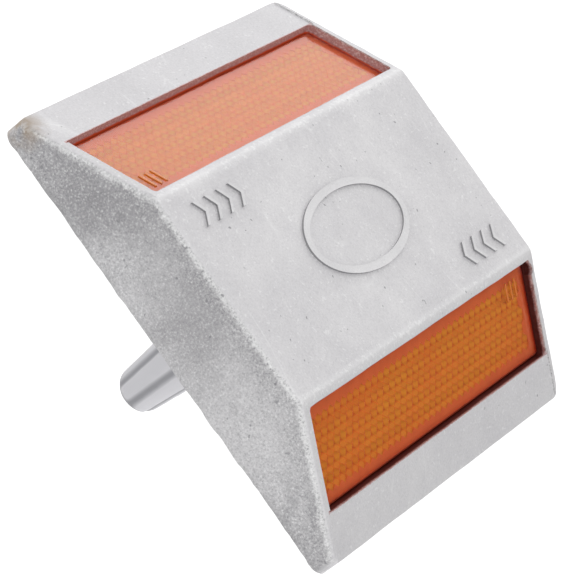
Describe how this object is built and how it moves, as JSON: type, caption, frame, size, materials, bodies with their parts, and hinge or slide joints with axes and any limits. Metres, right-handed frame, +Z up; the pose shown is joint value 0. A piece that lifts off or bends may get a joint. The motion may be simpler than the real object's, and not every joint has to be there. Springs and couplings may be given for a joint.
{
  "type": "raised pavement marker",
  "caption": "Two-way raised pavement marker: cast aluminium wedge with an amber prism reflector let into each slope and a fluted anchor shank below.",
  "frame": {"origin": "on the anchor shank's axis, in the plane of the underside that rests on the road", "axes": "+Z up out of the road, X across the lenses, Y along the traffic; the slopes face -Y and +Y"},
  "size_m": [0.1, 0.1, 0.0676],
  "materials": {
    "cast_aluminium": "blasted sand casting",
    "shank_aluminium": "as cast, smooth",
    "amber_lens": "clear amber acrylic",
    "backing_plastic": "moulded",
    "adhesive": "cured epoxy"
  },
  "bodies": {
    "root": {"body_casting": "cast_aluminium", "anchor_shank": "shank_aluminium", "lens_front": "amber_lens", "lens_rear": "amber_lens", "backing_plate_front": "backing_plastic", "backing_plate_rear": "backing_plastic", "adhesive_bed_front": "adhesive", "adhesive_bed_rear": "adhesive"}
  },
  "joints": []
}
